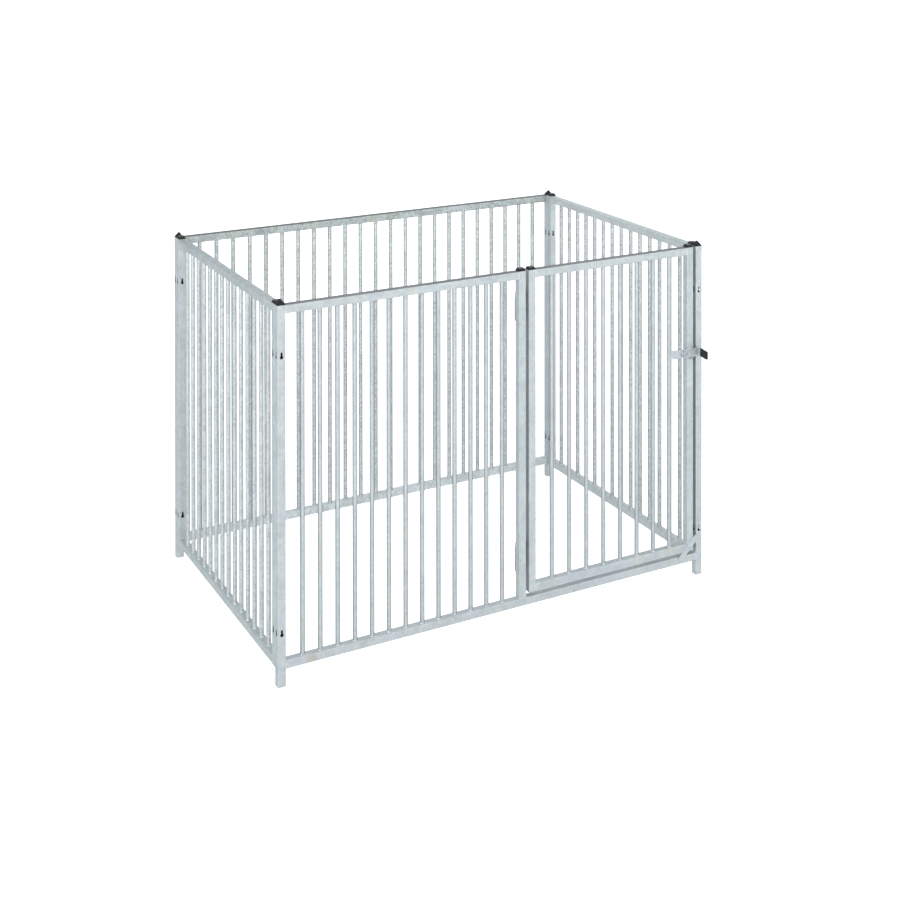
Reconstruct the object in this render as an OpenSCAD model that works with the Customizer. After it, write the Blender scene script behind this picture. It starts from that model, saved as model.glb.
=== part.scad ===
// Free-standing kennel pen: four panels of square galvanised tube filled with
// round upright bars, hung together at the corners, with a swing door in the
// front panel. The door hangs on two pintle hinges and shuts with a lift lever.
// Origin: middle of the overall bounding box, at floor level. X runs along the
// front, Y runs from the front to the back, Z is up. Units are millimetres.

/* [Pen size] */
// Outside length of the pen along the front
pen_len = 1500; // [1400:10:1700]
// Outside depth of the pen from front to back
pen_dep = 1000; // [900:10:1200]
// Height of the frames above the floor, without the caps
pen_h = 1100; // [1000:10:1200]
// Height of the rails' undersides above the floor
leg_h = 50; // [40:5:80]

/* [Tubes and bars] */
// Outside width of the square frame tube
tube = 25; // [24:1:28]
// Wall thickness of the frame tube
wall = 2; // [1.5:0.5:2.5]
// Outside corner radius of the frame tube
tube_r = 2.4; // [1:0.2:3]
// Outside diameter of the round upright bars
bar_d = 14; // [12:1:16]
// Wall thickness of the round upright bars
bar_wall = 1.5; // [1:0.5:2]
// Number of bars in the fixed part of the front panel
n_front = 13; // [10:1:15]
// Number of bars in the door
n_door = 8; // [6:1:9]
// Number of bars in the back panel
n_back = 23; // [18:1:26]
// Number of bars in each side panel
n_side = 14; // [11:1:16]

/* [Caps] */
// Height of the pyramid on the corner posts' caps
cap_rise = 15; // [8:0.5:18]
// Height of the taper on the other caps
cap_low = 6.5; // [2:0.5:8]

/* [Door] */
// Width of the door frame
door_w = 632; // [600:2:680]
// Gap between the hinge post and the door
gap_hinge = 11; // [9:1:14]
// Gap between the door and the right-hand post
gap_latch = 11; // [10:1:18]
// Gap between the door and the sill under it
gap_sill = 12; // [11:1:20]

/* [Hinges] */
// Outside diameter of the hinge barrels
barrel_d = 18; // [17:1:20]
// Length of each hinge barrel
barrel_len = 72; // [50:1:80]
// Height of the underside of the lower hinge barrel
barrel_low = 149; // [140:1:200]
// Height of the underside of the upper hinge barrel
barrel_top = 939; // [850:1:940]
// Diameter of the hinge pins and their arms
pin_d = 10; // [9:0.5:10]
// Radial running clearance of the pins in the barrels
pin_gap = 0.06; // [0.02:0.01:0.09]

/* [Latch] */
// Height of the latch lever's pivot above the floor
latch_z = 750; // [650:5:850]
// Width of the latch lever's flat bar
lever_w = 28; // [25:1:30]
// Thickness of the latch lever's flat bar
lever_t = 4; // [3:0.5:5]
// How far the lever reaches past the post's left face
lever_reach = 13; // [8:1:15]
// Length of the handle tab that is bent forward
tab_len = 54; // [40:1:60]
// Length of bare steel on the tab before the grip begins
tab_bare = 10; // [8:1:14]
// Height of the tab inside the grip
tab_w = 22; // [18:1:24]
// How far the tab leans back from square, in degrees
tab_lean = 10; // [0:1:20]

/* [Keyholes and hooks] */
// Height of the lower keyholes above the floor
key_low = 150; // [120:5:200]
// Distance from the lower to the upper keyholes
key_pitch = 800; // [650:5:820]
// Radius of the round end of a keyhole
key_r = 5; // [4.8:0.1:6]
// Width of the slot of a keyhole
slot_w = 6; // [5.6:0.1:6]
// Height of the slot's end above the round end's middle
slot_up = 12; // [11:1:14]

/* [Door stop] */
// Width of the diagonal flat bar across the door's lower corner
stop_w = 18; // [16:1:25]
// Thickness of that flat bar
stop_t = 4; // [3:0.5:5]

/* [Hidden] */
$fn = 48;

zinc = [0.74, 0.77, 0.78];
zinc_dark = [0.66, 0.69, 0.70];
black = [0.06, 0.06, 0.07];
over = 1;                                       // overshoot of cutters past a face

// Left edges of uprights, and the door's right edge
x_right = pen_len - tube;                       // right-hand posts
x_door_right = x_right - gap_latch;
x_latch_stile = x_door_right - tube;
x_door = x_door_right - door_w;                 // hinge stile
x_hinge_post = x_door - gap_hinge - tube;
// Front faces of the back panel and of the side panels' rear stiles
y_back = pen_dep - tube;
y_rear_stile = y_back - tube;
// Heights
z_sill_top = leg_h + tube;                      // top of the bottom rails
z_top_rail = pen_h - tube;                      // underside of the top rails
z_door = z_sill_top + gap_sill;                 // underside of the door
key_heights = [key_low, key_low + key_pitch];

// Latch planes, from the base plate forward
plate_t = 3;
washer_t = 1.5;
grip_t = 1.5;                                   // wall of the grip
y_plate = -plate_t;                             // front of the base plate
y_lever_back = y_plate - 0.3;                   // with a running gap
y_lever_front = y_lever_back - lever_t;
y_lever_mid = (y_lever_back + y_lever_front)/2;
y_washer = y_lever_front - 0.2 - washer_t;      // front of the washer

// Middle of the bounding box; the grip is the pen's foremost point
y_foremost = y_lever_mid - (tab_len + grip_t)*cos(tab_lean)
             - (lever_t/2 + grip_t)*sin(tab_lean);
module place() translate([-pen_len/2, -(pen_dep + y_foremost)/2, 0]) children();

// ---- tubes and bars ----
corner_flats = 4;                               // flats on each tube corner
corner_far = tube - tube_r;
// Centre x, centre y and start angle of each rounded corner
tube_corners = [[corner_far, corner_far, 0], [tube_r, corner_far, 90],
                [tube_r, tube_r, 180], [corner_far, tube_r, 270]];
tube_outline = [for (corner = tube_corners, i = [0:corner_flats])
    let (angle = corner[2] + 90*i/corner_flats)
    [corner[0] + tube_r*cos(angle), corner[1] + tube_r*sin(angle)]];

module section() difference() {
    polygon(tube_outline);
    translate([wall, wall]) square(tube - 2*wall);
}
// Vertical tube from z_foot to the top of the frames
module upright(x, y, z_foot) translate([x, y, z_foot])
    linear_extrude(height = pen_h - z_foot) section();
module rail_x(x0, x1, y, z) translate([x0, y, z]) rotate([90, 0, 90])
    linear_extrude(height = x1 - x0) section();
// Rail between the two stiles of a side panel
module side_rail(x, z) translate([x, 2*tube, z + tube]) rotate([-90, 0, 0])
    linear_extrude(height = y_rear_stile - 2*tube) section();

// One hollow round bar, from z_foot to the top rail
module bar(x, y, z_foot) translate([x, y, z_foot])
    linear_extrude(height = z_top_rail - z_foot) difference() {
        circle(d = bar_d);
        circle(d = bar_d - 2*bar_wall);
    }
// Rows of evenly spread bars, along a front or back frame and along a side
module bars_x(x0, x1, count, y, z_foot)
    for (i = [1:count]) bar(x0 + i*(x1 - x0)/(count + 1), y + tube/2, z_foot);
module side_bars(x)
    for (i = [1:n_side])
        bar(x + tube/2, 2*tube + i*(y_rear_stile - 2*tube)/(n_side + 1), z_sill_top);

// ---- keyholes and hooks ----
hook_r = slot_w/2 - 0.1;

// Turns Z to point to the back
module face_back(x, y, z) translate([x, y, z]) rotate([-90, 0, 0]) children();

// Keyhole cutter along +Y: round end below, slot above
module key_cut(depth) {
    face_back(0, 0, 0) cylinder(r = key_r, h = depth);
    translate([-slot_w/2, 0, 0]) cube([slot_w, depth, slot_up]);
    face_back(0, 0, slot_up) cylinder(r = slot_w/2, h = depth);
}
// Keyholes through a tube's left and right faces
module key_cut_sides(x, y, z) translate([x - over, y + tube/2, z])
    rotate([0, 0, -90]) key_cut(tube + 2*over);

// Corner post with keyholes through all four faces at two heights
module corner_post(x, y) difference() {
    upright(x, y, 0);
    for (z = key_heights) {
        translate([x + tube/2, y - over, z]) key_cut(tube + 2*over);
        key_cut_sides(x, y, z);
    }
}
// Upright of a side panel: keyholes in three faces, hook holes in the end face.
// dir is 1 when the end face looks to the front and -1 when it looks back.
module side_stile(x, y, dir) {
    y_keys = dir > 0 ? y + tube/2 : y - over;
    y_hooks = dir > 0 ? y - over : y + tube/2;
    difference() {
        upright(x, y, leg_h);
        for (z = key_heights) {
            key_cut_sides(x, y, z);
            translate([x + tube/2, y_keys, z]) key_cut(tube/2 + over);
            face_back(x + tube/2, y_hooks, z + slot_up)
                cylinder(r = hook_r, h = tube/2 + over);
        }
    }
}
// Stud riveted into a side panel and hooked in a post's slot. It lies along Y
// with its middle plane at y; dir is 1 when the post is in front of it.
module hook(x, y, z, dir) translate([x, y, z]) rotate([90*dir, 0, 0]) {
    rivet_t = 2;
    head_t = 2.5;
    lap = 1;                                    // overlap of shank and heads
    translate([0, 0, -wall - rivet_t]) cylinder(r = 4.6, h = rivet_t);
    translate([0, 0, -wall - lap]) cylinder(r = hook_r, h = 2*wall + 2*lap + 1);
    translate([0, 0, wall + 1]) cylinder(r = 4.4, h = head_t);
}

// ---- caps ----
cap_plate_t = 1.8;
skirt_h = 12;
skirt_gap = 0.2;                                // clearance inside the tube
skirt_wall = 1.6;

module skirt_square(inset) translate([inset, inset]) square(tube - 2*inset);
// Plastic cap: a plate with a tapered top, and a skirt inside the tube
module cap(x, y, rise, top_scale) translate([x, y, pen_h]) {
    linear_extrude(height = cap_plate_t) polygon(tube_outline);
    translate([tube/2, tube/2, cap_plate_t])
        linear_extrude(height = rise, scale = top_scale)
            translate([-tube/2, -tube/2]) polygon(tube_outline);
    translate([0, 0, -skirt_h]) linear_extrude(height = skirt_h) difference() {
        skirt_square(wall + skirt_gap);
        skirt_square(wall + skirt_gap + skirt_wall);
    }
}
module post_cap(x, y) cap(x, y, cap_rise, 0.12);    // pyramid on a corner post
module flat_cap(x, y) cap(x, y, cap_low, 0.78);     // low cap elsewhere

// ---- front panel ----
module front_left_post() color(zinc) place() corner_post(0, 0);
module front_right_post() color(zinc) place() corner_post(x_right, 0);
module front_hinge_post() color(zinc) place() upright(x_hinge_post, 0, z_sill_top);
module front_top_rail() color(zinc) place() rail_x(tube, x_hinge_post, 0, z_top_rail);
module front_bottom_rail() color(zinc) place() rail_x(tube, x_right, 0, leg_h);
module front_bars() color(zinc) place()
    bars_x(tube, x_hinge_post, n_front, 0, z_sill_top);
module front_post_caps() color(black) place() {
    post_cap(0, 0);
    flat_cap(x_hinge_post, 0);
    post_cap(x_right, 0);
}
// Flat bar on the front, from the sill up to the right-hand post
module door_stop_brace() color(zinc) place() {
    low_end = [pen_len - 94, leg_h + 15];       // X and Z of the middle line
    high_end = [pen_len - 20, leg_h + 84];
    span = high_end - low_end;
    translate([low_end[0], 0, low_end[1]]) rotate([0, -atan2(span[1], span[0]), 0])
        translate([0, -stop_t, -stop_w/2]) cube([norm(span), stop_t, stop_w]);
}

// ---- hinges ----
x_hinge = x_hinge_post + tube/2;                // hinge axis
y_hinge = tube + 8;
barrel_heights = [barrel_low, barrel_top];

// Barrels on the back of the hinge post, flattened where they are welded
module hinge_barrels() color(zinc_dark) place() {
    flat_cut = 10;                              // depth of the flattening cutter
    for (z = barrel_heights) difference() {
        translate([x_hinge, y_hinge, z]) cylinder(d = barrel_d, h = barrel_len);
        translate([x_hinge, y_hinge, z - over])
            cylinder(r = pin_d/2 + pin_gap, h = barrel_len + 2*over);
        translate([x_hinge - tube, tube - flat_cut, z - over])
            cube([2*tube, flat_cut, barrel_len + 2*over]);
    }
}
// Pintles: a pin down into each barrel, a boss, an arm and a pad on the stile
module hinge_pintles() color(zinc_dark) place() {
    pin_lift = 6;                               // pin's end above the barrel's
    boss_gap = 0.2;
    boss_size = 15;                             // diameter and height
    arm_up = 8;                                 // arm's axis above the barrel
    arm_short = 3;                              // arm's end from the stile's edge
    pad_left = 4;                               // pad's margins on the stile
    pad_right = 5;
    pad_t = 7;
    pad_h = 14;
    for (z = barrel_heights) {
        z_barrel_top = z + barrel_len;
        z_arm = z_barrel_top + arm_up;
        translate([x_hinge, y_hinge, z + pin_lift]) cylinder(d = pin_d, h = barrel_len);
        translate([x_hinge, y_hinge, z_barrel_top + boss_gap])
            cylinder(d = boss_size, h = boss_size);
        translate([x_hinge, y_hinge, z_arm]) rotate([0, 90, 0])
            cylinder(d = pin_d, h = x_door + tube - arm_short - x_hinge);
        translate([x_door + pad_left, tube, z_arm - pad_h/2])
            cube([tube - pad_left - pad_right, pad_t, pad_h]);
    }
}

// ---- door ----
module door_hinge_stile() color(zinc) place() upright(x_door, 0, z_door);
module door_latch_stile() color(zinc) place() upright(x_latch_stile, 0, z_door);
module door_rail(z) rail_x(x_door + tube, x_latch_stile, 0, z);
module door_top_rail() color(zinc) place() door_rail(z_top_rail);
module door_bottom_rail() color(zinc) place() door_rail(z_door);
module door_bars() color(zinc) place()
    bars_x(x_door + tube, x_latch_stile, n_door, 0, z_door + tube);
module door_caps() color(black) place() {
    flat_cap(x_door, 0);
    flat_cap(x_latch_stile, 0);
}

// ---- latch ----
x_pivot = x_door_right - 39;
x_lever_bend = x_right + lever_reach - lever_t/2;   // middle of the bar
bolt_r = 5;                                     // shank, and holes it fills

module at_pivot(y) face_back(x_pivot, y, latch_z) children();
// Frame of the handle tab, which runs along -Y from the bend
module at_tab() translate([x_lever_bend, y_lever_mid, latch_z])
    rotate([0, 0, -tab_lean]) children();

// Joggled strip welded to the door's last bar and to its latch stile
module latch_base_plate() color(zinc) place() {
    x_last_bar = x_door + tube + n_door*(door_w - 2*tube)/(n_door + 1);
    x_end = x_door_right - 8;
    y_bar = tube/2 - bar_d/2;                   // front of the bar
    joggle = 1.4;                               // back bends lie this far right
    difference() {
        translate([0, 0, latch_z - lever_w/2]) linear_extrude(height = lever_w)
            polygon([[x_last_bar - 2, y_bar], [x_last_bar - 2, y_bar - plate_t],
                     [x_last_bar + 15, y_bar - plate_t], [x_last_bar + 25, y_plate],
                     [x_end, y_plate], [x_end, 0],
                     [x_last_bar + 25 + joggle, 0],
                     [x_last_bar + 15 + joggle, y_bar]]);
        at_pivot(y_plate - over) cylinder(r = bolt_r, h = 20);
    }
}
// Bolt with a domed head in front of the washer
module latch_bolt() color(zinc_dark) place() at_pivot(y_washer) {
    head_r = 9;
    head_h = 4.6;
    dome_h = 3.4;
    cylinder(r = bolt_r, h = 19.5);
    translate([0, 0, -head_h]) rotate_extrude()
        polygon(concat([[0, head_h], [head_r, head_h], [head_r, dome_h]],
                       [for (a = [20:14:90]) [head_r*cos(a), dome_h - dome_h*sin(a)]],
                       [[0, 0]]));
}
module latch_washer() color(zinc) place() at_pivot(y_washer) difference() {
    cylinder(r = 11, h = washer_t);
    translate([0, 0, -over]) cylinder(r = bolt_r, h = washer_t + 2*over);
}
module latch_nut() color(zinc_dark) place() {
    nut_h = 8;
    at_pivot(0) difference() {
        cylinder(r = 9.8, h = nut_h, $fn = 6);
        translate([0, 0, -over]) cylinder(r = bolt_r, h = nut_h + 2*over);
    }
}
// Stud that the lever lies on when it is shut
module latch_rest_stud() color(zinc_dark) place() {
    stud_r = 4;
    stud_len = 11;
    stud_gap = 0.2;                             // below the lever
    face_back(x_door_right - 13, -stud_len, latch_z - lever_w/2 - stud_r - stud_gap)
        cylinder(r = stud_r, h = stud_len);
}
// Flat bar with a half-round end at the pivot and a shouldered tab bent forward
module latch_lever() color(zinc) place() {
    half_t = lever_t/2;
    x_start = x_pivot - x_lever_bend;
    lean_sin = sin(tab_lean);
    lean_cos = cos(tab_lean);
    inner_in = half_t*(1 + lean_sin)/lean_cos;  // inner corner's place on the tab
    bend_flats = 6;
    end_flats = 16;
    shoulder_cut = 10;                          // height of each shoulder cutter
    tip_over = 5;                               // their overshoot past the tip
    difference() {
        union() {
            translate([x_lever_bend, y_lever_mid, latch_z - lever_w/2])
                linear_extrude(height = lever_w) polygon(concat(
                    [[x_start, -half_t], [x_start, half_t]],
                    [for (i = [0:bend_flats])
                        let (a = 90 - i*(90 + tab_lean)/bend_flats)
                        [half_t*cos(a), half_t*sin(a)]],
                    [[half_t*lean_cos - tab_len*lean_sin,
                      -half_t*lean_sin - tab_len*lean_cos],
                     [-half_t*lean_cos - tab_len*lean_sin,
                      half_t*lean_sin - tab_len*lean_cos],
                     [-half_t*lean_cos - inner_in*lean_sin, -half_t]]));
            translate([x_pivot, y_lever_back, latch_z]) rotate([90, 0, 0])
                linear_extrude(height = lever_t)
                    polygon([for (i = [0:end_flats])
                        let (a = 90 + i*180/end_flats)
                        [lever_w/2*cos(a), lever_w/2*sin(a)]]);
        }
        at_pivot(y_lever_front - over)
            cylinder(r = bolt_r + 0.06, h = lever_t + 2*over);
        at_tab() for (z = [tab_w/2, -tab_w/2 - shoulder_cut])
            translate([-lever_t, -tab_len - tip_over, z])
                cube([2*lever_t, tab_len + tip_over - tab_bare, shoulder_cut]);
    }
}
// Plastic sleeve pushed on the tab
module latch_grip() color(black) place() {
    fit = 0.02;                                 // clearance around the tab
    at_tab() difference() {
        translate([-lever_t/2 - grip_t, -tab_len - grip_t, -tab_w/2 - grip_t])
            cube([lever_t + 2*grip_t, tab_len + grip_t - tab_bare - fit,
                  tab_w + 2*grip_t]);
        translate([-lever_t/2 - fit, -tab_len - fit, -tab_w/2 - fit])
            cube([lever_t + 2*fit, tab_len + 2*over, tab_w + 2*fit]);
    }
}

// ---- back panel ----
module back_left_post() color(zinc) place() corner_post(0, y_back);
module back_right_post() color(zinc) place() corner_post(x_right, y_back);
module back_top_rail() color(zinc) place() rail_x(tube, x_right, y_back, z_top_rail);
module back_bottom_rail() color(zinc) place() rail_x(tube, x_right, y_back, leg_h);
module back_bars() color(zinc) place()
    bars_x(tube, x_right, n_back, y_back, z_sill_top);
module back_post_caps() color(black) place()
    for (x = [0, x_right]) post_cap(x, y_back);

// ---- side panels ----
module side_caps(x) for (y = [tube, y_rear_stile]) flat_cap(x, y);

module left_front_stile() color(zinc) place() side_stile(0, tube, 1);
module left_rear_stile() color(zinc) place() side_stile(0, y_rear_stile, -1);
module left_top_rail() color(zinc) place() side_rail(0, z_top_rail);
module left_bottom_rail() color(zinc) place() side_rail(0, leg_h);
module left_bars() color(zinc) place() side_bars(0);
module left_stile_caps() color(black) place() side_caps(0);

module right_front_stile() color(zinc) place() side_stile(x_right, tube, 1);
module right_rear_stile() color(zinc) place() side_stile(x_right, y_rear_stile, -1);
module right_top_rail() color(zinc) place() side_rail(x_right, z_top_rail);
module right_bottom_rail() color(zinc) place() side_rail(x_right, leg_h);
module right_bars() color(zinc) place() side_bars(x_right);
module right_stile_caps() color(black) place() side_caps(x_right);

// Eight hooks that hang the side panels on the front and back panels
module panel_hooks() color(zinc_dark) place()
    for (x = [tube/2, pen_len - tube/2], z = key_heights) {
        hook(x, tube, z + slot_up, 1);
        hook(x, y_back, z + slot_up, -1);
    }

front_left_post();
front_hinge_post();
front_right_post();
front_top_rail();
front_bottom_rail();
front_bars();
front_post_caps();
door_stop_brace();
hinge_barrels();
door_hinge_stile();
door_latch_stile();
door_top_rail();
door_bottom_rail();
door_bars();
door_caps();
hinge_pintles();
latch_base_plate();
latch_bolt();
latch_washer();
latch_nut();
latch_rest_stud();
latch_lever();
latch_grip();
back_left_post();
back_right_post();
back_top_rail();
back_bottom_rail();
back_bars();
back_post_caps();
left_front_stile();
left_rear_stile();
left_top_rail();
left_bottom_rail();
left_bars();
left_stile_caps();
right_front_stile();
right_rear_stile();
right_top_rail();
right_bottom_rail();
right_bars();
right_stile_caps();
panel_hooks();
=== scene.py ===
"""Looks for the kennel pen: galvanised finish, weld beads, zinc drips and a studio.

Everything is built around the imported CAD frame, in metres, in its frame.
"""

import math
import random

import bmesh
import bpy
from mathutils import Matrix, Vector, noise


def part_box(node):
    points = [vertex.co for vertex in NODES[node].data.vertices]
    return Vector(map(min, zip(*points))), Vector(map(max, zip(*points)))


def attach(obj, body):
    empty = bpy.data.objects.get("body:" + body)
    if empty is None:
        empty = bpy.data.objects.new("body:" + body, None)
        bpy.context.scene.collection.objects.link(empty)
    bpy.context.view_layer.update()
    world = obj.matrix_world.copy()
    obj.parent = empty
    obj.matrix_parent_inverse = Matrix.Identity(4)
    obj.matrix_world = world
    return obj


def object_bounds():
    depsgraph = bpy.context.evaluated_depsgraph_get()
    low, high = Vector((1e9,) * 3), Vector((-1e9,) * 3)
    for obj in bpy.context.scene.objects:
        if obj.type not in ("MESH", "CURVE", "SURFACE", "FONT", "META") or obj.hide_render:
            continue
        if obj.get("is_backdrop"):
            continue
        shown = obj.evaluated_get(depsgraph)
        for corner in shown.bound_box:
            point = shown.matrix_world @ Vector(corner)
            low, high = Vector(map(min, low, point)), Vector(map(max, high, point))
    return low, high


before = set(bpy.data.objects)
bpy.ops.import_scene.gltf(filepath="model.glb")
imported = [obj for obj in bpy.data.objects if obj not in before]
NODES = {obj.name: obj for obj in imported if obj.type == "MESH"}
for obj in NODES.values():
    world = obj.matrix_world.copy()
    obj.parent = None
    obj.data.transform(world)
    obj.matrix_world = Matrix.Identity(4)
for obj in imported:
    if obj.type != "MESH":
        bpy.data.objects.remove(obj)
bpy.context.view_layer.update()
MM = 0.001


# --------------------------------------------------------------------------
# Small node-graph helper
# --------------------------------------------------------------------------
class Graph:
    """Adds shader nodes in one line each and links sockets given as inputs."""

    def __init__(self, tree):
        self.tree = tree
        tree.nodes.clear()

    def add(self, kind, props=None, **ins):
        n = self.tree.nodes.new(kind)
        for k, v in (props or {}).items():
            setattr(n, k, v)
        for k, v in ins.items():
            self.put(n, k, v)
        return n

    def put(self, n, key, v):
        if key.startswith("i") and key[1:].isdigit():
            s = n.inputs[int(key[1:])]
        else:
            s = n.inputs[key.replace("_", " ")]
        if isinstance(v, bpy.types.NodeSocket):
            self.tree.links.new(v, s)
        else:
            s.default_value = v

    def math(self, op, a, b=0.0, c=0.0, clamp=False):
        n = self.add("ShaderNodeMath", {"operation": op, "use_clamp": clamp})
        for i, v in enumerate((a, b, c)):
            self.put(n, f"i{i}", v)
        return n.outputs[0]

    def remap(self, v, a, b, lo=0.0, hi=1.0, smooth=False):
        n = self.add(
            "ShaderNodeMapRange",
            {"interpolation_type": "SMOOTHSTEP" if smooth else "LINEAR", "clamp": True},
        )
        for i, x in enumerate((v, a, b, lo, hi)):
            self.put(n, f"i{i}", x)
        return n.outputs[0]

    def mix(self, f, a, b, blend="MIX"):
        n = self.add("ShaderNodeMix", {"data_type": "RGBA", "blend_type": blend})
        n.inputs[0].default_value = 1.0
        self.put(n, "i0", f)
        self.put(n, "i6", a)
        self.put(n, "i7", b)
        return n.outputs[2]

    def noise(self, vec, scale, detail=2.0, rough=0.5, distort=0.0):
        n = self.add("ShaderNodeTexNoise", {"noise_dimensions": "3D"})
        self.put(n, "Vector", vec)
        self.put(n, "Scale", scale)
        self.put(n, "Detail", detail)
        self.put(n, "Roughness", rough)
        self.put(n, "Distortion", distort)
        return n.outputs["Fac"]

    def voronoi(self, vec, scale, feature="F1", rand=1.0):
        n = self.add(
            "ShaderNodeTexVoronoi", {"voronoi_dimensions": "3D", "feature": feature}
        )
        self.put(n, "Vector", vec)
        self.put(n, "Scale", scale)
        self.put(n, "Randomness", rand)
        return n

    def stretch(self, vec, s, loc=(0, 0, 0)):
        n = self.add("ShaderNodeMapping", {"vector_type": "POINT"})
        self.put(n, "Vector", vec)
        n.inputs["Location"].default_value = loc
        n.inputs["Scale"].default_value = s
        return n.outputs[0]


def new_material(name):
    m = bpy.data.materials.new(name)
    m.use_nodes = True
    return m, Graph(m.node_tree)


def rgb(r, g, b):
    return (r, g, b, 1.0)


# --------------------------------------------------------------------------
# Materials
# --------------------------------------------------------------------------
def edge_mask(g, radius, lo, hi):
    """1 near convex and concave edges, 0 on flats, by the bevel normal."""
    bev = g.add("ShaderNodeBevel", {"samples": 4}, Radius=radius)
    geo = g.add("ShaderNodeNewGeometry")
    dot = g.add("ShaderNodeVectorMath", {"operation": "DOT_PRODUCT"})
    g.put(dot, "i0", bev.outputs[0])
    g.put(dot, "i1", geo.outputs["Normal"])
    return g.remap(dot.outputs["Value"], hi, lo, 0.0, 1.0)


def galvanised(
    name,
    shift=(0.0, 0.0, 0.0),
    light=(0.70, 0.74, 0.75),
    dark=(0.53, 0.575, 0.595),
    cell=95.0,
    spangle=0.35,
    dross=0.25,
    run=(60.0, 60.0, 9.0),
    metal=0.75,
    rough=0.46,
    relief=1.0,
    stain=0.25,
    wear=0.5,
    speck=0.0,
    recess_shade=False,
    bar_side_shade=0.0,
    top_face_shade=0.0,
    cream=0.35,
    marks=(),
):
    """Hot-dip zinc: crystal spangle, cloudy mottling, runs, dross pimples."""
    m, g = new_material(name)
    out = g.add("ShaderNodeOutputMaterial")
    bsdf = g.add("ShaderNodeBsdfPrincipled")
    g.put(out, "Surface", bsdf.outputs[0])
    co = g.add("ShaderNodeTexCoord").outputs["Object"]
    co = g.stretch(co, (1, 1, 1), shift)
    warp = g.add("ShaderNodeTexNoise", {"noise_dimensions": "3D"})
    g.put(warp, "Vector", co)
    g.put(warp, "Scale", 70.0)
    g.put(warp, "Detail", 2.0)
    off = g.add("ShaderNodeVectorMath", {"operation": "MULTIPLY_ADD"})
    g.put(off, "i0", warp.outputs["Color"])
    off.inputs[1].default_value = (0.008, 0.008, 0.008)
    g.put(off, "i2", co)
    cells = g.voronoi(off.outputs[0], cell)
    sep = g.add("ShaderNodeSeparateColor")
    g.put(sep, "i0", cells.outputs["Color"])
    crystal = sep.outputs[0]
    fine = g.voronoi(off.outputs[0], cell * 2.7)
    sep2 = g.add("ShaderNodeSeparateColor")
    g.put(sep2, "i0", fine.outputs["Color"])
    frost = g.noise(co, 420.0, 4.0, 0.62)
    cloud = g.noise(co, 26.0, 5.0, 0.55, 0.3)
    broad = g.noise(co, 4.2, 3.0, 0.5)
    runs = g.noise(g.stretch(co, run), 1.0, 4.0, 0.55, 0.2)

    # how light the zinc is at this point
    v = g.math("MULTIPLY", crystal, spangle)
    v = g.math("MULTIPLY_ADD", sep2.outputs[1], spangle * 0.45, v)
    v = g.math("MULTIPLY_ADD", frost, 0.34, v)
    v = g.math("MULTIPLY_ADD", cloud, 0.60, v)
    v = g.math("MULTIPLY_ADD", broad, 0.42, v)
    v = g.math("MULTIPLY_ADD", runs, 0.50, v)
    mid = spangle * 0.72 + 0.93
    if speck > 0:
        grit = g.noise(co, 300.0, 1.5, 0.5)
        v = g.math("MULTIPLY_ADD", g.remap(grit, 0.40, 0.60), speck, v)
        mid += speck * 0.5
    tone = g.remap(v, mid - 0.34, mid + 0.34)
    col = g.mix(tone, rgb(*dark), rgb(*light))

    # patches where the zinc is a little yellower
    patch = g.noise(g.stretch(co, (1, 1, 1), (7.7, 2.3, 4.1)), 19.0, 4.0, 0.6, 0.5)
    patch = g.remap(patch, 0.46, 0.66, 0.0, cream, True)
    col = g.mix(patch, col, g.mix(1.0, col, rgb(1.05, 1.0, 0.90), "MULTIPLY"))

    # small bright pimples and pits of dross in the zinc
    pim = g.voronoi(co, 330.0)
    dot = g.remap(pim.outputs["Distance"], 0.05, 0.30, 1.0, 0.0, True)
    seeds = g.add("ShaderNodeSeparateColor")
    g.put(seeds, "i0", pim.outputs["Color"])
    some = g.math("GREATER_THAN", seeds.outputs[0], 1.0 - dross * 0.5)
    pits = g.math("LESS_THAN", seeds.outputs[0], dross * 0.25)
    pimple = g.math("MULTIPLY", dot, some)
    pit = g.math("MULTIPLY", dot, pits)
    col = g.mix(g.math("MULTIPLY", pimple, 0.55), col, rgb(0.86, 0.885, 0.89))
    col = g.mix(g.math("MULTIPLY", pit, 0.45), col, rgb(0.30, 0.33, 0.35))

    # faint warm stains where flux and run-off dried
    spots = g.noise(g.stretch(co, (1, 1, 1), (3.1, 1.7, 5.3)), 7.5, 4.0, 0.6, 0.8)
    warm = g.remap(spots, 0.62, 0.74, 0.0, stain, True)
    col = g.mix(warm, col, rgb(0.60, 0.575, 0.49))

    # single marks at known places, in the frame's own coordinates
    here = g.add("ShaderNodeTexCoord").outputs["Object"]
    for x, y, z, radius, tint, much in marks:
        away = g.add("ShaderNodeVectorMath", {"operation": "DISTANCE"})
        g.put(away, "i0", here)
        away.inputs[1].default_value = (x, y, z)
        near = g.math("MULTIPLY_ADD", cloud, 0.9 * radius, away.outputs["Value"])
        near = g.remap(near, 0.75 * radius, 1.45 * radius, much, 0.0, True)
        col = g.mix(near, col, rgb(*tint))

    # rubbed, brighter metal along the edges
    if wear > 0:
        e = edge_mask(g, 0.0011, 0.86, 0.995)
        broken = g.remap(g.noise(co, 180.0, 3.0, 0.6), 0.35, 0.62)
        e = g.math("MULTIPLY", g.math("MULTIPLY", e, broken), wear)
        col = g.mix(e, col, rgb(0.80, 0.825, 0.835))
    if top_face_shade > 0:
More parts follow.
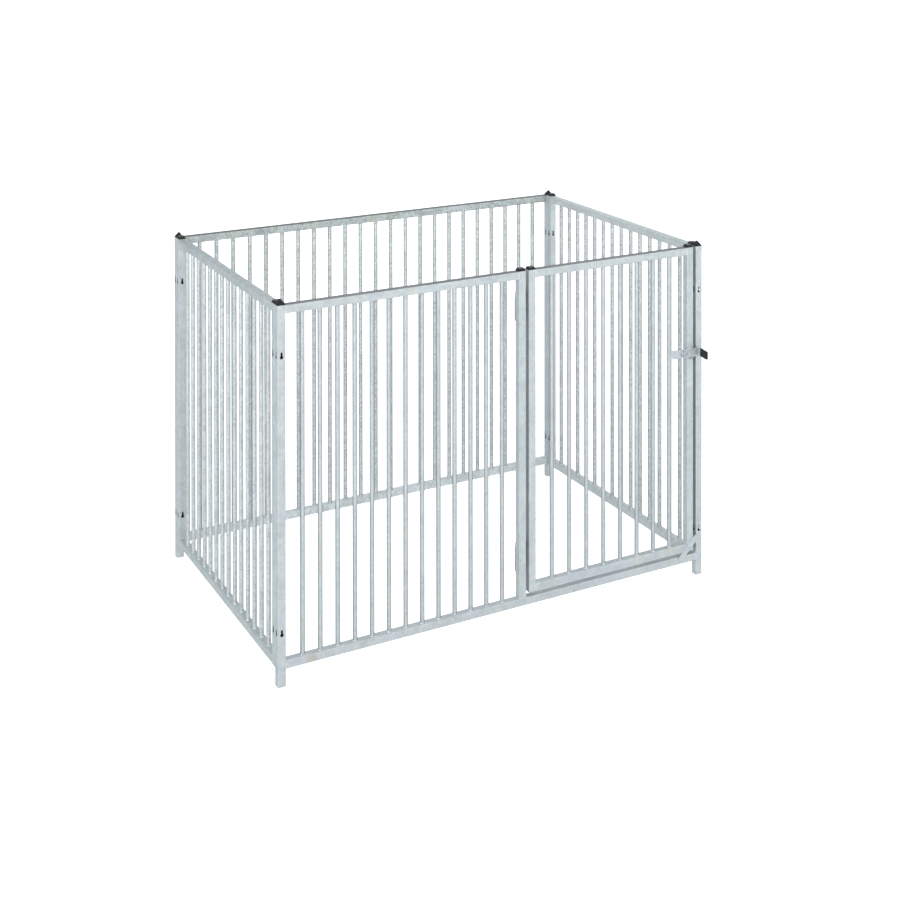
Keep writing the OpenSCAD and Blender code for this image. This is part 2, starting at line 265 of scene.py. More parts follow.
        # painted shade: the upper faces of the top rails are darkened, broken up by the runs
        # noise
        geo = g.add("ShaderNodeNewGeometry")
        nz = g.add("ShaderNodeSeparateXYZ")
        g.put(nz, "i0", geo.outputs["Normal"])
        pz = g.add("ShaderNodeSeparateXYZ")
        g.put(pz, "i0", here)
        top = g.math("MULTIPLY", g.remap(nz.outputs[2], 0.45, 0.85, 0.0, 1.0, True),
                     g.math("GREATER_THAN", pz.outputs[2], 1.0))
        top = g.math("MULTIPLY", top, g.remap(runs, 0.25, 0.7, top_face_shade, top_face_shade * 0.7))
        col = g.mix(top, col, rgb(0.135, 0.130, 0.130))
    if bar_side_shade > 0:
        # painted shade: the colour darkens where the surface turns away from the view, standing
        # in for the dark reflections at a round bar's sides
        lw = g.add("ShaderNodeLayerWeight", Blend=0.5)
        painted_side_shade = g.remap(lw.outputs["Facing"], 0.14, 0.58, 0.0, bar_side_shade, True)
        col = g.mix(painted_side_shade, col, rgb(0.085, 0.10, 0.11))
    if recess_shade:
        # painted shade: the inside of the tube is darkened nearly to black where the local
        # ambient occlusion is low
        ao = g.add("ShaderNodeAmbientOcclusion", {"samples": 6, "only_local": True})
        ao.inputs["Distance"].default_value = 0.03
        tube_inside_shade = g.remap(ao.outputs["AO"], 0.86, 0.46, 0.0, 1.0, True)
        col = g.mix(tube_inside_shade, col, rgb(0.012, 0.013, 0.014))
        # painted shade: side faces darken where a neighbouring part closes them in, as in the
        # narrow gaps beside the door
        gap = g.add("ShaderNodeAmbientOcclusion", {"samples": 6, "only_local": False})
        gap.inputs["Distance"].default_value = 0.03
        geo = g.add("ShaderNodeNewGeometry")
        nx = g.add("ShaderNodeSeparateXYZ")
        g.put(nx, "i0", geo.outputs["Normal"])
        side = g.math("GREATER_THAN", g.math("ABSOLUTE", nx.outputs[0]), 0.7)
        gap_shade = g.remap(gap.outputs["AO"], 0.48, 0.22, 0.0, 0.60, True)
        col = g.mix(g.math("MULTIPLY", gap_shade, side), col, rgb(0.035, 0.038, 0.042))
    g.put(bsdf, "Base Color", col)
    bsdf.inputs["Metallic"].default_value = metal

    r = g.math("MULTIPLY_ADD", crystal, 0.13, rough - 0.13)
    r = g.math("MULTIPLY_ADD", frost, 0.12, r)
    r = g.math("MULTIPLY_ADD", cloud, 0.14, r)
    r = g.math("MULTIPLY_ADD", pimple, -0.12, r)
    g.put(bsdf, "Roughness", g.math("MINIMUM", r, 0.85))

    h = g.math("MULTIPLY", cloud, 0.00035)
    h = g.math("MULTIPLY_ADD", runs, 0.00040, h)
    h = g.math("MULTIPLY_ADD", frost, 0.00005, h)
    h = g.math("MULTIPLY_ADD", crystal, 0.00003, h)
    h = g.math("MULTIPLY_ADD", pimple, 0.00022, h)
    h = g.math("MULTIPLY_ADD", pit, -0.00014, h)
    b = g.add("ShaderNodeBump")
    b.inputs["Strength"].default_value = 0.9
    b.inputs["Distance"].default_value = relief
    g.put(b, "Height", h)
    g.put(bsdf, "Normal", b.outputs[0])
    return m


def plated(name, shift=(0.0, 0.0, 0.0), base=(0.60, 0.625, 0.64), rough=0.36):
    """Zinc-plated hardware: tighter and shinier than the dipped tube."""
    m, g = new_material(name)
    out = g.add("ShaderNodeOutputMaterial")
    bsdf = g.add("ShaderNodeBsdfPrincipled")
    g.put(out, "Surface", bsdf.outputs[0])
    co = g.stretch(g.add("ShaderNodeTexCoord").outputs["Object"], (1, 1, 1), shift)
    cloud = g.noise(co, 90.0, 4.0, 0.6)
    fine = g.noise(co, 900.0, 3.0, 0.6)
    turned = g.noise(g.stretch(co, (260, 260, 2600)), 1.0, 2.0, 0.5)
    tone = g.math("MULTIPLY_ADD", fine, 0.35, g.math("MULTIPLY", cloud, 0.9))
    tone = g.remap(tone, 0.38, 0.86)
    d = tuple(c * 0.72 for c in base)
    col = g.mix(tone, rgb(*d), rgb(*base))
    e = edge_mask(g, 0.0006, 0.85, 0.99)
    e = g.math("MULTIPLY", e, g.remap(cloud, 0.35, 0.6, 0.2, 0.8))
    col = g.mix(e, col, rgb(0.80, 0.82, 0.82))
    g.put(bsdf, "Base Color", col)
    bsdf.inputs["Metallic"].default_value = 0.85
    r = g.math("MULTIPLY_ADD", cloud, 0.20, rough - 0.10)
    r = g.math("MULTIPLY_ADD", turned, 0.08, r)
    g.put(bsdf, "Roughness", r)
    h = g.math("MULTIPLY", turned, 0.00004)
    h = g.math("MULTIPLY_ADD", cloud, 0.00010, h)
    h = g.math("MULTIPLY_ADD", fine, 0.00002, h)
    b = g.add("ShaderNodeBump")
    b.inputs["Strength"].default_value = 0.8
    b.inputs["Distance"].default_value = 1.0
    g.put(b, "Height", h)
    g.put(bsdf, "Normal", b.outputs[0])
    return m


def plastic(name, shift=(0.0, 0.0, 0.0), base=0.008, top=0.020, rough=0.44, upper_grey=0.0):
    """Moulded black polythene: spark-eroded grain, dust and scuffed edges."""
    m, g = new_material(name)
    out = g.add("ShaderNodeOutputMaterial")
    bsdf = g.add("ShaderNodeBsdfPrincipled")
    g.put(out, "Surface", bsdf.outputs[0])
    co = g.stretch(g.add("ShaderNodeTexCoord").outputs["Object"], (1, 1, 1), shift)
    grain = g.noise(co, 1500.0, 3.0, 0.65)
    cell = g.voronoi(co, 1100.0).outputs["Distance"]
    dust = g.noise(co, 120.0, 5.0, 0.6, 0.4)
    col = g.mix(
        g.remap(dust, 0.35, 0.75),
        rgb(base, base, base * 1.06),
        rgb(top, top * 0.99, top * 0.99),
    )
    if upper_grey > 0:
        # the upper faces are made lighter grey
        geo = g.add("ShaderNodeNewGeometry")
        nz = g.add("ShaderNodeSeparateXYZ")
        g.put(nz, "i0", geo.outputs["Normal"])
        top_face = g.remap(nz.outputs[2], 0.80, 0.97, 0.0, upper_grey, True)
        top_face = g.math("MULTIPLY", top_face, g.remap(dust, 0.25, 0.65, 0.6, 1.0))
        col = g.mix(top_face, col, rgb(0.30, 0.30, 0.31))
    e = edge_mask(g, 0.0007, 0.80, 0.99)
    e = g.math("MULTIPLY", e, g.remap(dust, 0.3, 0.7, 0.10, 0.5))
    col = g.mix(e, col, rgb(0.09, 0.09, 0.095))
    g.put(bsdf, "Base Color", col)
    r = g.math("MULTIPLY_ADD", grain, 0.16, rough - 0.08)
    r = g.math("MULTIPLY_ADD", dust, 0.12, r)
    g.put(bsdf, "Roughness", r)
    bsdf.inputs["Specular IOR Level"].default_value = 0.35
    h = g.math("MULTIPLY", grain, 0.00006)
    h = g.math("MULTIPLY_ADD", cell, 0.00005, h)
    h = g.math("MULTIPLY_ADD", dust, 0.00006, h)
    b = g.add("ShaderNodeBump")
    b.inputs["Strength"].default_value = 0.8
    b.inputs["Distance"].default_value = 1.0
    g.put(b, "Height", h)
    g.put(bsdf, "Normal", b.outputs[0])
    return m


UP = (60.0, 60.0, 9.0)
ALONG_X = (9.0, 60.0, 60.0)
ALONG_Y = (60.0, 9.0, 60.0)
STAIN = (0.52, 0.45, 0.33)
mat_up = galvanised("zinc_upright_tube", run=UP, recess_shade=True)
mat_x = galvanised(
    "zinc_rail_x",
    (1.3, 0.4, 2.2),
    run=ALONG_X,
    top_face_shade=0.85,
    cream=0.6,
    marks=((-0.650, -0.470, 0.060, 0.030, STAIN, 0.40),),
)
mat_y = galvanised("zinc_rail_y", (2.9, 1.4, 0.2), run=ALONG_Y, light=(0.68, 0.725, 0.73),
                   dark=(0.48, 0.53, 0.54))
mat_y_right = galvanised("zinc_rail_y_right", (0.9, 2.4, 1.2), run=ALONG_Y,
                         light=(0.78, 0.815, 0.815), dark=(0.61, 0.655, 0.66))
# painted shade: a darker copy of the rail zinc for the back top rail; its extra speckle and
# dross are real
mat_x_far_painted_shade = galvanised(
    "zinc_rail_rough",
    (0.2, 3.1, 1.7),
    run=ALONG_X,
    light=(0.66, 0.71, 0.705),
    dark=(0.36, 0.41, 0.415),
    cell=70.0,
    dross=0.8,
    speck=0.40,
    top_face_shade=0.95,
    cream=0.9,
    marks=((-0.640, 0.505, 1.090, 0.030, STAIN, 0.30),),
)
# painted light: a lighter, less metallic copy of the rail zinc for the back bottom rail,
# offsetting the shade the front panel throws on it; its speckle and dross are real
mat_x_low_painted_light = galvanised(
    "zinc_rail_rough_low",
    (2.2, 0.7, 0.4),
    run=ALONG_X,
    light=(0.90, 0.93, 0.93),
    dark=(0.58, 0.625, 0.64),
    dross=0.8,
    speck=0.30,
    metal=0.55,
)
BAR = {
    "run": (150.0, 150.0, 12.0),
    "cell": 140.0,
    "relief": 1.5,
    "wear": 0.0,
    "metal": 0.85,
    "rough": 0.34,
}
mat_bar = galvanised(
    "zinc_bar", (0.7, 2.4, 1.2), dross=0.60, speck=0.25, bar_side_shade=0.48, **BAR
)
mat_bar_left = galvanised(
    "zinc_bar_left",
    (3.3, 1.3, 0.6),
    dross=0.8,
    speck=0.40,
    bar_side_shade=0.28,
    light=(0.82, 0.86, 0.86),
    dark=(0.54, 0.585, 0.59),
    **BAR,
)
mat_bar_far = galvanised(
    "zinc_bar_rough",
    (1.9, 0.3, 2.6),
    dross=1.0,
    speck=0.55,
    bar_side_shade=0.85,
    light=(0.88, 0.92, 0.91),
    dark=(0.50, 0.54, 0.54),
    **BAR,
)
mat_flat = galvanised(
    "zinc_flat_bar",
    (4.1, 0.2, 0.9),
    run=(30.0, 30.0, 30.0),
    light=(0.72, 0.76, 0.775),
    dark=(0.52, 0.565, 0.595),
    rough=0.42,
)
mat_weld = galvanised(
    "zinc_over_weld",
    (5.7, 3.3, 1.9),
    run=(300.0, 300.0, 300.0),
    cell=300.0,
    light=(0.90, 0.92, 0.92),
    dark=(0.55, 0.585, 0.60),
    rough=0.36,
    relief=0.8,
    wear=0.0,
    dross=0.4,
)
mat_hard = plated("zinc_plated_hardware")
mat_hinge = plated("hinge_steel", (1.1, 2.2, 0.3), (0.42, 0.44, 0.455), 0.44)
mat_cap = plastic("black_cap_plastic", upper_grey=0.45)
mat_grip = plastic("black_grip_plastic", (0.6, 0.1, 0.8), 0.006, 0.014, 0.5)


def choose(name):
    if name.endswith("caps"):
        return mat_cap
    if name == "latch_grip":
        return mat_grip
    if name in ("hinge_barrels", "hinge_pintles"):
        return mat_hinge
    if name in ("latch_bolt", "latch_washer", "latch_nut", "latch_rest_stud"):
        return mat_hard
    if name == "panel_hooks":
        return mat_hinge
    if name in ("latch_lever", "latch_base_plate", "door_stop_brace"):
        return mat_flat
    if name.endswith("bars"):
        if name == "left_bars":
            return mat_bar_left
        return mat_bar if name in ("front_bars", "door_bars") else mat_bar_far
    if name == "back_top_rail":
        return mat_x_far_painted_shade
    if name == "back_bottom_rail":
        return mat_x_low_painted_light
    if name in ("right_top_rail", "right_bottom_rail"):
        return mat_y_right
    if name.endswith("rail"):
        return mat_y if name.startswith(("left", "right")) else mat_x
    return mat_up


# --------------------------------------------------------------------------
# Clean shading on the CAD nodes: joined faces, smooth by angle, soft edges
# --------------------------------------------------------------------------
def shading_group(name, degrees):
    t = bpy.data.node_groups.new(name, "GeometryNodeTree")
    t.interface.new_socket("Geometry", in_out="INPUT", socket_type="NodeSocketGeometry")
    t.interface.new_socket(
        "Geometry", in_out="OUTPUT", socket_type="NodeSocketGeometry"
    )
    n = t.nodes
    a, z = n.new("NodeGroupInput"), n.new("NodeGroupOutput")
    merge = n.new("GeometryNodeMergeByDistance")
    merge.inputs["Distance"].default_value = 2e-6
    drop = n.new("GeometryNodeRemoveAttribute")
    drop.inputs["Name"].default_value = "custom_normal"
    face = n.new("GeometryNodeSetShadeSmooth")
    face.domain = "FACE"
    face.inputs["Shade Smooth"].default_value = True
    edge = n.new("GeometryNodeSetShadeSmooth")
    edge.domain = "EDGE"
    angle = n.new("GeometryNodeInputMeshEdgeAngle")
    low = n.new("FunctionNodeCompare")
    low.data_type = "FLOAT"
    low.operation = "LESS_THAN"
    low.inputs[1].default_value = math.radians(degrees)
    t.links.new(a.outputs[0], merge.inputs["Geometry"])
    t.links.new(merge.outputs[0], drop.inputs["Geometry"])
    t.links.new(drop.outputs[0], face.inputs["Geometry"])
    t.links.new(face.outputs[0], edge.inputs["Geometry"])
    t.links.new(angle.outputs["Unsigned Angle"], low.inputs[0])
    t.links.new(low.outputs[0], edge.inputs["Shade Smooth"])
    t.links.new(edge.outputs[0], z.inputs[0])
    return t


join_faces = shading_group("join_faces", 32.0)
EDGE = {
    "caps": 0.55,
    "latch_grip": 1.1,
    "latch_lever": 0.5,
    "latch_base_plate": 0.5,
    "door_stop_brace": 0.6,
    "latch_nut": 0.4,
    "latch_washer": 0.3,
    "latch_rest_stud": 0.5,
    "hinge_barrels": 0.6,
    "hinge_pintles": 0.5,
    "panel_hooks": 0.4,
}
for name, o in NODES.items():
    o.data.materials.clear()
    o.data.materials.append(choose(name))
    mod = o.modifiers.new("join_faces", "NODES")
    mod.node_group = join_faces
    width = EDGE.get("caps" if name.endswith("caps") else name, 0.25)
    if name.endswith("bars"):
        continue
    bev = o.modifiers.new("soft_edges", "BEVEL")
    bev.width = width * MM
    bev.segments = 3 if width > 0.5 else 2
    bev.limit_method = "ANGLE"
    bev.angle_limit = math.radians(40)
    bev.use_clamp_overlap = True
    bev.harden_normals = False
    wn = o.modifiers.new("even_shading", "WEIGHTED_NORMAL")
    wn.keep_sharp = True


# --------------------------------------------------------------------------
# Weld beads
# --------------------------------------------------------------------------
class Beads:
    """Collects weld beads for one body into one mesh."""

    def __init__(self, name, seed):
        self.name = name
        self.rng = random.Random(seed)
        self.bm = bmesh.new()

    def loft(self, rings, close):
        """Skins rings of points; close joins the last ring to the first."""
        bm = self.bm
        vs = [[bm.verts.new(p) for p in r] for r in rings]
        n, k = len(vs), len(vs[0])
        for i in range(n if close else n - 1):
            a, b = vs[i], vs[(i + 1) % n]
            for j in range(k):
                bm.faces.new((a[j], a[(j + 1) % k], b[(j + 1) % k], b[j]))
        if not close:
            bm.faces.new(list(reversed(vs[0])))
            bm.faces.new(vs[-1])

    def ring(self, x, y, z, r, up, along, steps=28, dab=None):
        """Fillet weld round an upright bar where it stands on a tube.
        up is 1 at the foot and -1 at the head; along is the rail's direction.
        dab is the direction of a heavier blob where the welder stopped."""
        g = self.rng
        lobes = [
            (math.atan2(s * along[1], s * along[0]) + g.uniform(-0.35, 0.35),
             g.uniform(1.2, 2.1), g.uniform(0.42, 0.62))
            for s in (1, -1)
        ]
        if dab is not None:
            lobes.append((dab + g.uniform(-0.3, 0.3), g.uniform(1.1, 1.8),
                          g.uniform(0.50, 0.66)))
        seed = Vector((g.uniform(0, 90), g.uniform(0, 90), g.uniform(0, 90)))
        rings = []
        for i in range(steps):
            a = 2 * math.pi * i / steps
            ca, sa = math.cos(a), math.sin(a)
            lump = sum(
                k * math.exp(-(((a - c + math.pi) % (2 * math.pi) - math.pi) / w) ** 2)
                for c, k, w in lobes
            )
            nz = noise.noise(Vector((ca * 1.7, sa * 1.7, 0)) + seed)
            n2 = noise.noise(Vector((ca * 5, sa * 5, 3)) + seed)
            leg = 1.05 + 0.95 * lump + 0.35 * nz + 0.18 * n2
            rise = 1.15 + 1.05 * lump + 0.4 * nz - 0.15 * n2
            leg, rise = min(3.4, max(0.5, leg)), min(4.6, max(0.5, rise))
            prof = [
                (r - 0.55, -0.45),
                (r + leg * 0.98, -0.35),
                (r + leg, 0.06),
                (r + leg * 0.80, 0.30 * rise),
                (r + leg * 0.52, 0.60 * rise),
                (r + leg * 0.24, 0.86 * rise),
                (r + 0.03, rise),
                (r - 0.55, rise * 0.96),
            ]
            rings.append(
                [
                    (x + d * MM * ca, y + d * MM * sa, z + up * h * MM)
                    for d, h in prof
                ]
            )
        if up < 0:
            rings.reverse()
        self.loft(rings, True)

    def seam(self, p, q, out, width, height, side=None):
        """Flattened ripple bead from p to q on a face whose normal is out.
        side gives a second face's normal, for a bead in an inside corner."""
        g = self.rng
        p, q, out = Vector(p), Vector(q), Vector(out).normalized()
        d = q - p
        length = d.length
        d.normalize()
        steps = max(10, int(length / (1.05 * MM)))
        seed = Vector((g.uniform(0, 90), g.uniform(0, 90), g.uniform(0, 90)))
        pitch = g.uniform(2.0, 2.7)
        rings = []
        if side is None:
            across = out.cross(d).normalized()
        else:
            side = Vector(side).normalized()
        for i in range(steps + 1):
            t = i / steps
            s = t * length / MM
            end = min(1.0, 0.35 + 2.2 * min(t, 1 - t) * length / MM / 4.0)
            ripple = 1.0 + 0.10 * math.cos(2 * math.pi * s / pitch)
            n1 = noise.noise(Vector((s * 0.22, 0, 0)) + seed)
            n2 = noise.noise(Vector((s * 0.22, 7, 0)) + seed)
            w = width * (0.92 + 0.22 * n1) * end * ripple
            h = height * (0.95 + 0.35 * n2) * end * ripple
            c = p + d * (t * length)
            if side is None:
                sway = 0.25 * n2
                prof = [(-0.5, -0.35), (-0.5, 0.02), (-0.36, 0.55), (-0.15, 0.93),
                        (0.12, 0.95), (0.35, 0.58), (0.5, 0.02), (0.5, -0.35)]
                rings.append(
                    [
                        c + across * ((a * w + sway) * MM)
                        + out * ((b * h if b > 0 else b) * MM)
                        for a, b in prof
                    ]
                )
            else:
                prof = [(-0.4, -0.4), (1.0, -0.35), (1.0, 0.04), (0.74, 0.34),
                        (0.50, 0.52), (0.30, 0.78), (0.04, 1.0), (-0.35, 1.0)]
                rings.append(
                    [c + side * (a * w * MM if a > 0 else a * MM)
                     + out * (b * h * MM if b > 0 else b * MM) for a, b in prof]
                )
        self.loft(rings, False)

    def arc(self, centre, axis, r, a0, a1, leg, rise, ref):
        """Fillet weld over part of a round part standing on a face."""
        g = self.rng
        axis, ref = Vector(axis).normalized(), Vector(ref).normalized()
        tang = axis.cross(ref)
        seed = Vector((g.uniform(0, 90), g.uniform(0, 90), g.uniform(0, 90)))
        steps = max(10, int(abs(a1 - a0) / 0.2))
        rings = []
        for i in range(steps + 1):
            t = i / steps
            a = a0 + (a1 - a0) * t
            e = min(1.0, 0.3 + 5 * min(t, 1 - t))
            nz = noise.noise(Vector((a * 2.1, 0, 0)) + seed)
            l, h = leg * e * (1 + 0.3 * nz), rise * e * (1 - 0.25 * nz)
            dirn = ref * math.cos(a) + tang * math.sin(a)
            prof = [(r - 0.5, -0.4), (r + l, -0.3), (r + l, 0.05), (r + 0.7 * l, 0.4 * h),
                    (r + 0.3 * l, 0.8 * h), (r + 0.02, h), (r - 0.5, h * 0.95)]
            rings.append(
                [Vector(centre) + dirn * (u * MM) + axis * (v * MM) for u, v in prof]
            )
        self.loft(rings, False)

    def drip(self, x, y, z, size, tall):
        """Frozen drip of zinc hanging under a rail."""
        g = self.rng
        steps, rings = 12, []
        lean = (g.uniform(-0.2, 0.2), g.uniform(-0.2, 0.2))
        prof = [(1.9, 0.35), (1.55, -0.02), (0.95, -0.22), (0.62, -0.45), (0.60, -0.68),
                (0.48, -0.88), (0.22, -0.99)]
        for rr, h in prof:
            ring = []
            for i in range(steps):
                a = 2 * math.pi * i / steps
                k = size * rr * (1 + 0.12 * math.sin(2 * a + lean[0] * 9))
                ring.append(
                    (x + (k * math.cos(a) + lean[0] * h * tall * -0.5) * MM,
                     y + (k * math.sin(a) + lean[1] * h * tall * -0.5) * MM,
                     z + (h * tall if h < 0 else h) * MM)
                )
            rings.append(ring)
        self.loft(rings, False)

    def finish(self, body):
        bm = self.bm
        bmesh.ops.recalc_face_normals(bm, faces=bm.faces[:])
        me = bpy.data.meshes.new(self.name)
        bm.to_mesh(me)
        bm.free()
        for p in me.polygons:
            p.use_smooth = True
        o = bpy.data.objects.new(self.name, me)
        bpy.context.scene.collection.objects.link(o)
        me.materials.append(mat_weld)
        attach(o, body)
        return o


def centres(node, axis):
    """Middles of the upright bars of a node, along X (0) or Y (1)."""
    vals = sorted(v.co[axis] for v in NODES[node].data.vertices)
    groups, start, prev = [], vals[0], vals[0]
    for v in vals[1:]:
        if v - prev > 6 * MM:
            groups.append((start + prev) / 2)
            start = v
        prev = v
    groups.append((start + prev) / 2)
    return groups


def bar_welds(beads, node, axis):
    lo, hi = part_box(node)
    r = (hi[1 - axis] - lo[1 - axis]) / 2 / MM
    other = (lo[1 - axis] + hi[1 - axis]) / 2
    along = (1, 0) if axis == 0 else (0, 1)
    for c in centres(node, axis):
        x, y = (c, other) if axis == 0 else (other, c)
        beads.ring(x, y, lo.z, r, 1, along, dab=-2.3)
        beads.ring(x, y, hi.z, r, -1, along)


def frame_welds(beads, rail, axis, faces, wide=4.2, high=0.55, flush=None):
    """Seams where a rail's two ends meet the uprights.
    faces lists the directions, across the rail, that get a face seam.
    flush is an (end, face) whose seam is ground flat: 1 is the low end."""
    lo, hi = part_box(rail)
    for end, s in ((lo, 1), (hi, -1)):
        c = end[axis]
        for f in faces:
            if (s, f) == flush:
                continue
            if axis == 0:
                y = lo.y if f < 0 else hi.y
                beads.seam((c, y, lo.z + 1.5 * MM), (c, y, hi.z - 1.5 * MM),
                           (0, f, 0), wide, high)
            else:
                x = lo.x if f < 0 else hi.x
                beads.seam((x, c, lo.z + 1.5 * MM), (x, c, hi.z - 1.5 * MM),
                           (f, 0, 0), wide, high)
    return lo, hi


def corner_fillets(beads, rail, axis, ztop, zlow):
    """Fillets in the inside corners: on top of a low rail, under a top rail."""
    lo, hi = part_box(rail)
    z, up = (hi.z, 1) if ztop else (lo.z, -1)
    if zlow is not None:
        z = zlow
    for end, s in ((lo, 1), (hi, -1)):
        c = end[axis]
        m = 2.2 * MM
        if axis == 0:
            beads.seam((c, lo.y + m, z), (c, hi.y - m, z), (0, 0, up), 2.5, 2.4,
                       side=(s, 0, 0))
        else:
            beads.seam((lo.x + m, c, z), (hi.x - m, c, z), (0, 0, up), 2.5, 2.4,
                       side=(0, s, 0))


front = Beads("weld_beads_front_panel", 11)
bar_welds(front, "front_bars", 0)
for rail in ("front_top_rail", "front_bottom_rail"):
    frame_welds(front, rail, 0, (-1, 1))
corner_fillets(front, "front_top_rail", 0, False, None)
corner_fillets(front, "front_bottom_rail", 0, True, None)
# hinge post standing on the bottom rail
hp_lo, hp_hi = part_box("front_hinge_post")
for y, f in ((hp_lo.y, -1), (hp_hi.y, 1)):
    front.seam((hp_lo.x + 1.5 * MM, y, hp_lo.z), (hp_hi.x - 1.5 * MM, y, hp_lo.z),
               (0, f, 0), 4.2, 0.55)
for x, s in ((hp_lo.x, -1), (hp_hi.x, 1)):
    front.seam((x, hp_lo.y + 2 * MM, hp_lo.z), (x, hp_hi.y - 2 * MM, hp_lo.z),
               (0, 0, 1), 2.5, 2.4, side=(s, 0, 0))
# hinge barrels lie against the back of the hinge post
hb_lo, hb_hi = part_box("hinge_barrels")
hx = (hb_lo.x + hb_hi.x) / 2
zs = sorted({round(v.co.z, 4) for v in NODES["hinge_barrels"].data.vertices})
pairs = []
for z in zs:
    if not pairs or z - pairs[-1][1] > 0.2:
        pairs.append([z, z])
    pairs[-1][1] = z
for z0, z1 in pairs:
    for s in (-1, 1):
        front.seam((hx + s * 4.4 * MM, hp_hi.y, z0 + 4 * MM),
                   (hx + s * 4.4 * MM, hp_hi.y, z1 - 4 * MM),
                   (0, 1, 0), 3.6, 2.6, side=(s, 0, 0))
front.finish("pen_frame")

door = Beads("weld_beads_door", 23)
bar_welds(door, "door_bars", 0)
for rail in ("door_top_rail", "door_bottom_rail"):
    # the lower latch corner shuts on the stop's flat bar
    flush = (-1, -1) if rail == "door_bottom_rail" else None
    frame_welds(door, rail, 0, (-1, 1), flush=flush)
corner_fillets(door, "door_top_rail", 0, False, None)
corner_fillets(door, "door_bottom_rail", 0, True, None)
# pads of the pintle arms on the back of the hinge stile
st_lo, st_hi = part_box("door_hinge_stile")
pads = [v.co for v in NODES["hinge_pintles"].data.vertices if v.co.x > st_lo.x + 3.5 * MM]
lows = sorted(p.z for p in pads)
half = (lows[0] + lows[-1]) / 2
for part in ([p for p in pads if p.z < half], [p for p in pads if p.z > half]):
    pz0, pz1 = min(p.z for p in part), max(p.z for p in part)
    px0, px1 = min(p.x for p in part), max(p.x for p in part)
    for z, u in ((pz1, 1), (pz0, -1)):
        door.seam((px0 + 1 * MM, st_hi.y, z), (px1 - 1 * MM, st_hi.y, z),
                  (0, 1, 0), 2.6, 2.4, side=(0, 0, u))
# latch plate on the door's last bar and on the latch stile
lp_lo, lp_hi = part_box("latch_base_plate")
ls_lo, ls_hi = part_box("door_latch_stile")
for z, u in ((lp_hi.z, 1), (lp_lo.z, -1)):
    door.seam((ls_lo.x + 3 * MM, ls_lo.y, z), (lp_hi.x - 1 * MM, ls_lo.y, z),
              (0, -1, 0), 2.6, 2.0, side=(0, 0, u))
door.seam((lp_hi.x, ls_lo.y, lp_lo.z + 2 * MM), (lp_hi.x, ls_lo.y, lp_hi.z - 2 * MM),
          (0, -1, 0), 2.4, 1.9, side=(1, 0, 0))
door.finish("door")

back = Beads("weld_beads_back_panel", 37)
bar_welds(back, "back_bars", 0)
for rail in ("back_top_rail", "back_bottom_rail"):
    frame_welds(back, rail, 0, (-1,))
corner_fillets(back, "back_top_rail", 0, False, None)
corner_fillets(back, "back_bottom_rail", 0, True, None)
back.finish("pen_frame")

left = Beads("weld_beads_left_panel", 41)
bar_welds(left, "left_bars", 1)
for rail in ("left_top_rail", "left_bottom_rail"):
    frame_welds(left, rail, 1, (1,))
corner_fillets(left, "left_top_rail", 1, False, None)
corner_fillets(left, "left_bottom_rail", 1, True, None)
left.finish("pen_frame")

right = Beads("weld_beads_right_panel", 53)
bar_welds(right, "right_bars", 1)
for rail in ("right_top_rail", "right_bottom_rail"):
    frame_welds(right, rail, 1, (-1,))
corner_fillets(right, "right_top_rail", 1, False, None)
corner_fillets(right, "right_bottom_rail", 1, True, None)
right.finish("pen_frame")

# zinc drips under the rails and at the door's foot
drips = Beads("zinc_drips_frame", 67)
g = drips.rng
for rail, axis in (("front_bottom_rail", 0), ("back_bottom_rail", 0),
                   ("left_bottom_rail", 1), ("right_bottom_rail", 1),
                   ("front_top_rail", 0), ("back_top_rail", 0)):
    lo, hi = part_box(rail)
    bars = centres(rail.split("_")[0] + "_bars", axis)
    for _ in range(7 if axis == 0 else 5):
        if "top" in rail:
            i = g.randrange(len(bars) - 1)
            c = (bars[i] + bars[i + 1]) / 2 + g.uniform(-8, 8) * MM
        else:
            c = g.uniform(lo[axis] + 0.03, hi[axis] - 0.03)
        off = g.choice((5, 9, 16, 20)) * MM
        x, y = (c, lo.y + off) if axis == 0 else (lo.x + off, c)
        drips.drip(x, y, lo.z, g.uniform(0.7, 1.1), g.uniform(1.8, 3.6))
drips.finish("pen_frame")
drips = Beads("zinc_drips_door", 71)
g = drips.rng
lo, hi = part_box("door_bottom_rail")
for _ in range(4):
    drips.drip(g.uniform(lo.x + 0.03, hi.x - 0.03), lo.y + g.choice((5, 9, 18)) * MM,
               lo.z, g.uniform(0.7, 1.0), g.uniform(1.8, 3.2))
drips.finish("door")


# --------------------------------------------------------------------------
# Stage, light and camera
# --------------------------------------------------------------------------
def floor():
    m, g = new_material("studio_floor")
    out = g.add("ShaderNodeOutputMaterial")
    bsdf = g.add("ShaderNodeBsdfPrincipled")
    co = g.add("ShaderNodeTexCoord").outputs["Object"]
    v = g.noise(co, 1.6, 3.0, 0.5)
    col = g.mix(v, rgb(0.86, 0.86, 0.86), rgb(0.89, 0.89, 0.89))
    g.put(bsdf, "Base Color", col)
    bsdf.inputs["Roughness"].default_value = 0.9
    bsdf.inputs["Specular IOR Level"].default_value = 0.1
    bsdf.inputs["Emission Color"].default_value = (1, 1, 1, 1)
    seen = g.add("ShaderNodeLightPath").outputs["Is Camera Ray"]
    g.put(bsdf, "Emission Strength", g.remap(seen, 0.0, 1.0, 0.05, 0.80))
    g.put(out, "Surface", bsdf.outputs[0])
    me = bpy.data.meshes.new("studio_floor")
    s = 120.0
    me.from_pydata([(-s, -s, 0), (s, -s, 0), (s, s, 0), (-s, s, 0)], [], [(0, 1, 2, 3)])
    me.materials.append(m)
    o = bpy.data.objects.new("studio_floor", me)
    o.location = (0, 0, -0.0005)
    bpy.context.scene.collection.objects.link(o)
    o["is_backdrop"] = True


floor()


